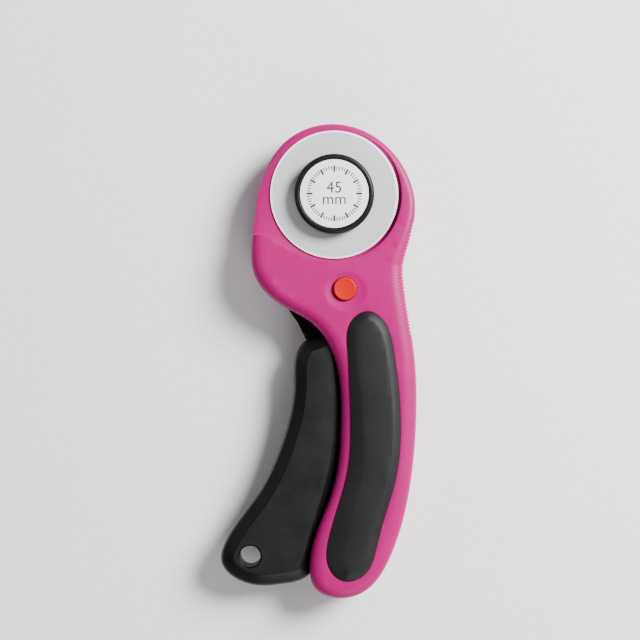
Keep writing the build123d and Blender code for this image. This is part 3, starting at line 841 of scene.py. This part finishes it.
# Darker copy of the trigger's black for its sloped faces: painted shade.
TRIGGER_SLOPE_SHADE = moulded(
    "trigger_slope_painted_shade", (0.0012, 0.0013, 0.0015), 0.34, 0.004, specular=0.22, variation=0.06,
)
HUB_BLACK = moulded("hub_black_plastic", (0.004, 0.004, 0.0042), 0.4, 0.006, specular=0.25, variation=0.05)
BUTTON_RED = moulded("button_red_plastic", (0.50, 0.004, 0.0015), 0.38, 0.004, specular=0.2, variation=0.03)
LABEL = moulded("label_printed_card", (0.93, 0.93, 0.94), 0.42, 0.003, variation=0.015, texture=2600)
INK = moulded("label_ink", (0.03, 0.031, 0.034), 0.5, 0.002, variation=0.08)
WASHER = moulded("washer_nylon", srgb("E9E7DF"), 0.5, 0.004, variation=0.02)
RING = rubber("detent_rubber", srgb("1B1B1C"), 0.7, 0.01)
LEVER = metal("lever_painted_steel", srgb("1B1613"), 0.45, 0.004)
STEEL = metal("pin_steel", srgb("C9CBCC"), 0.28, 0.002, (1, 1, 0.1))
SPRING = metal("spring_wire", srgb("B5B7B8"), 0.3, 0.002, (1, 1, 6), anisotropic=0.4)
BRASS = metal("bush_brass", srgb("CBA35A"), 0.34, 0.002, (1, 1, 0.15))
BOLT = metal("bolt_zinc_steel", srgb("B9BCBF"), 0.38, 0.004)
SCREW = metal("screw_black_steel", srgb("3A3B3D"), 0.36, 0.003)
BLADE = ground_steel("blade_ground_steel")


def wear(piece, paint, body, slot_name, *nodes):
    """Give a piece its material and the body it moves with, and hide the CAD nodes it stands for; slot_name
    is not used.
    """
    piece.data.materials.clear()
    piece.data.materials.append(paint)
    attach(piece, body)
    if nodes:
        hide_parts(*nodes)


wear(body_shell("front_shell_skin", 1), MAGENTA, "handle", "shell_magenta", "front_shell")
wear(body_shell("rear_shell_skin", -1), MAGENTA, "handle", "shell_magenta", "rear_shell")
wear(grip_pad("front_pad_skin", 1), BLACK_SOFT, "handle", "soft_black", "front_grip_pad")
wear(grip_pad("rear_pad_skin", -1), BLACK_SOFT, "handle", "soft_black", "rear_grip_pad")
wear(trigger("trigger_skin"), TRIGGER_BLACK, "lever", "trigger_black", "trigger_grip")
wear(blade_disc(), BLADE, "blade", "blade_steel", "blade")
wear(hub_ring(), HUB_BLACK, "lever", "hub_black", "hub_cap")
wear(label_disc(), LABEL, "lever", "label_white", "hub_label_disc")
wear(label_ticks(), INK, "lever", "label_white")
wear(label_numeral(), INK, "lever", "label_white")
wear(push_button(), BUTTON_RED, "lock_button", "button_red", "lock_button")
wear(finger_nut(), HUB_BLACK, "nut", "hub_black", "nut")

# The trigger's sloped faces get a smoother finish and a darker black; the darker black is painted shade on
# the slopes.
trigger_mesh = bpy.data.objects["trigger_skin"].data
trigger_mesh.materials.append(TRIGGER_SLOPE_SHADE)
for polygon in trigger_mesh.polygons:
    polygon.material_index = int(abs(polygon.normal.z) < 0.995)

# The spring's low leg belongs with the lever and its top leg with the handle; the coil is drawn once, in
# place, and not attached to either.
coil = spring_coil()
coil.data.materials.append(SPRING)
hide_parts("return_spring")
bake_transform(coil)

# CAD nodes that are shown as they are
KEPT = {
    "blade_lever": LEVER, "pivot_pin": STEEL, "pivot_bush": BRASS, "pivot_washer": WASHER,
    "button_detent_ring": RING, "bolt_stud": BOLT, "spring_washer": SPRING, "nut_insert": BRASS,
    "shell_screws": SCREW,
}
for node, paint in KEPT.items():
    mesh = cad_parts[node].data
    mesh.materials.clear()
    mesh.materials.append(paint)


# ---- Floor, light and camera ----
def floor_plane():
    """White sheet that the tool lies on."""
    side, cells = 3.0, 24
    ticks = np.linspace(-side / 2, side / 2, cells + 1)
    mesh = bpy.data.meshes.new("floor")
    verts = [(x, y, 0.0) for y in ticks for x in ticks]
    row = cells + 1
    corners = [j * row + i for j in range(cells) for i in range(cells)]
    faces = [(k, k + 1, k + row + 1, k + row) for k in corners]
    mesh.from_pydata(verts, [], faces)
    plane = bpy.data.objects.new("floor", mesh)
    bpy.context.scene.collection.objects.link(plane)
    paint, tree, shader, where = material("floor_paper")
    tone = ramp(tree, noise(tree, where, 6, 3), [(0.3, (0.90, 0.90, 0.905)), (0.7, (0.93, 0.93, 0.932))])
    tree.links.new(tone, shader.inputs["Base Color"])
    shader.inputs["Roughness"].default_value = 0.85
    bump(tree, shader, [(noise(tree, where, 900, 3), 0.02)])
    plane.data.materials.append(paint)


def area_light(name, place, target, size, power):
    lamp = bpy.data.lights.new(name, "AREA")
    lamp.shape = "DISK"
    lamp.size = size
    lamp.energy = power
    obj = bpy.data.objects.new(name, lamp)
    obj.location = place
    obj.rotation_euler = (Vector(target) - Vector(place)).to_track_quat("-Z", "Y").to_euler()
    bpy.context.scene.collection.objects.link(obj)


floor_plane()
MIDDLE = (-0.005, -0.05, 0.01)
area_light("key", (0.70, 0.42, 0.72), MIDDLE, 0.55, 40.0)
area_light("fill", (-0.85, 0.35, 0.70), MIDDLE, 0.8, 1.2)
area_light("low", (0.25, -0.95, 0.60), MIDDLE, 0.7, 5.0)
world = bpy.data.worlds.new("studio")
world.use_nodes = True
world.node_tree.nodes["Background"].inputs["Color"].default_value = (0.95, 0.96, 1.0, 1)
world.node_tree.nodes["Background"].inputs["Strength"].default_value = 0.25
bpy.context.scene.world = world

view_width = 0.225
distance = 0.6
lens = bpy.data.cameras.new("camera")
lens.sensor_width = 36
lens.lens = 36 * distance / view_width
camera = bpy.data.objects.new("camera", lens)
camera.location = (-0.0050, -0.0441, distance + 0.0163)
bpy.context.scene.collection.objects.link(camera)
bpy.context.scene.camera = camera
